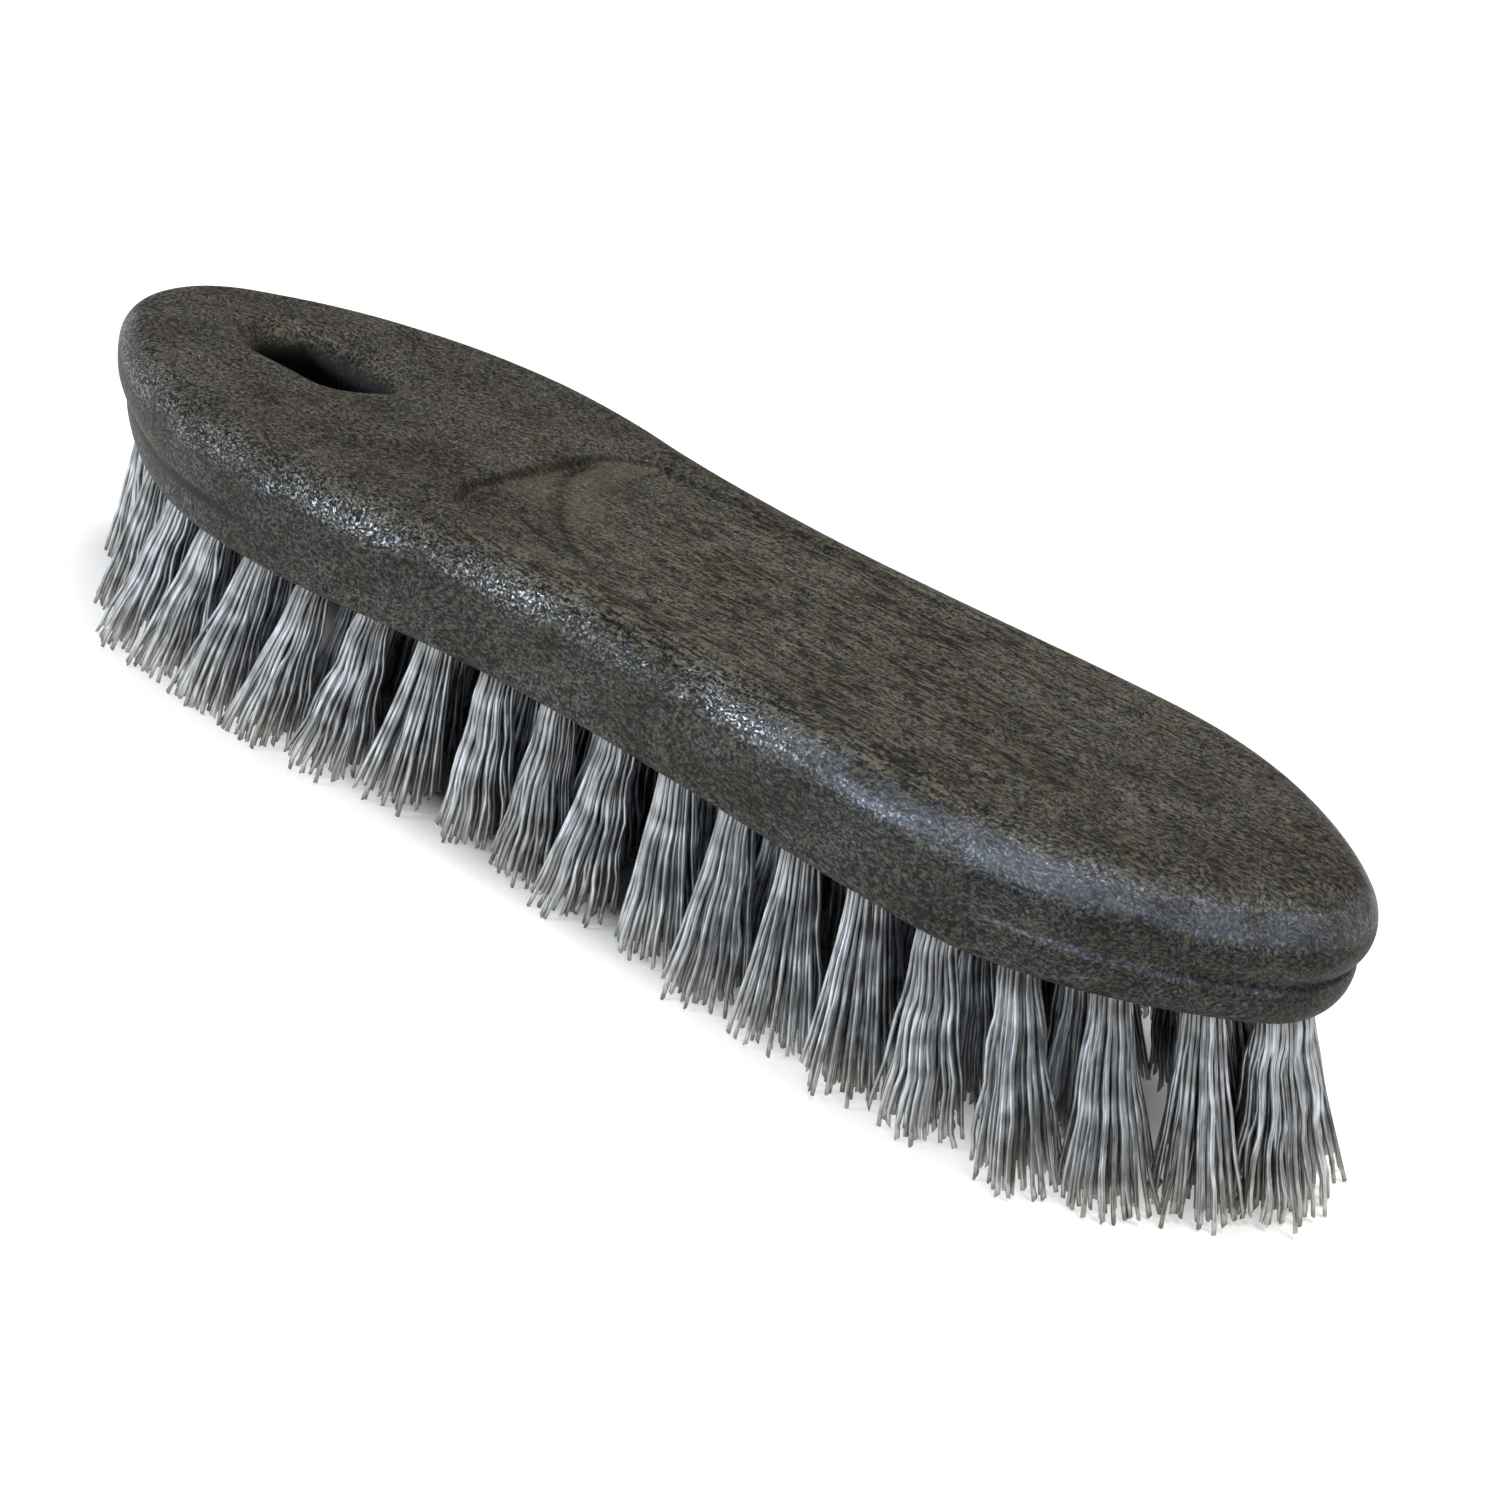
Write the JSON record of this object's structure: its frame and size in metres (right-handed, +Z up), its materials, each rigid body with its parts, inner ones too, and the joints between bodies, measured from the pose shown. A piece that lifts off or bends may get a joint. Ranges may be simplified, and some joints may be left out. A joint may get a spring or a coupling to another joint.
{
  "type": "grooming brush",
  "caption": "Hand brush for stable grooming: a waisted plastic block held in the palm, with a hanging slot, a sunk thumb panel and fanned tufts of stiff filament below.",
  "frame": {"origin": "centre of the bounding box, in the plane of the bristle tips, on which the brush stands", "axes": "+Z up from the bristle tips to the back of the block, +X along the block from the end with the hanging slot to the other, +Y across it"},
  "size_m": [0.2212, 0.0678, 0.0391],
  "materials": {
    "block": "fine leather-like moulded grain, slightly shiny",
    "bristle": "extruded monofilament, semi-gloss",
    "anchor": "drawn flat wire"
  },
  "bodies": {
    "root": {"block": "block", "centre_anchors": "anchor", "centre_tuft_01": "bristle", "centre_tuft_02": "bristle", "centre_tuft_03": "bristle", "centre_tuft_04": "bristle", "centre_tuft_05": "bristle", "centre_tuft_06": "bristle", "centre_tuft_07": "bristle", "centre_tuft_08": "bristle", "centre_tuft_09": "bristle", "centre_tuft_10": "bristle", "centre_tuft_11": "bristle", "inner_anchors": "anchor", "inner_tuft_heel": "bristle", "inner_tuft_nose": "bristle", "inner_tufts_01": "bristle", "inner_tufts_02": "bristle", "inner_tufts_03": "bristle", "inner_tufts_04": "bristle", "inner_tufts_05": "bristle", "inner_tufts_06": "bristle", "inner_tufts_07": "bristle", "inner_tufts_08": "bristle", "inner_tufts_09": "bristle", "inner_tufts_10": "bristle", "inner_tufts_11": "bristle", "inner_tufts_12": "bristle", "outer_anchors": "anchor", "outer_tuft_heel": "bristle", "outer_tuft_nose": "bristle", "outer_tufts_01": "bristle", "outer_tufts_02": "bristle", "outer_tufts_03": "bristle", "outer_tufts_04": "bristle", "outer_tufts_05": "bristle", "outer_tufts_06": "bristle", "outer_tufts_07": "bristle", "outer_tufts_08": "bristle", "outer_tufts_09": "bristle", "outer_tufts_10": "bristle", "outer_tufts_11": "bristle", "outer_tufts_12": "bristle", "outer_tufts_13": "bristle", "outer_tufts_14": "bristle", "outer_tufts_15": "bristle", "outer_tufts_16": "bristle", "outer_tufts_17": "bristle", "outer_tufts_18": "bristle", "outer_tufts_19": "bristle", "outer_tufts_20": "bristle"}
  },
  "joints": []
}
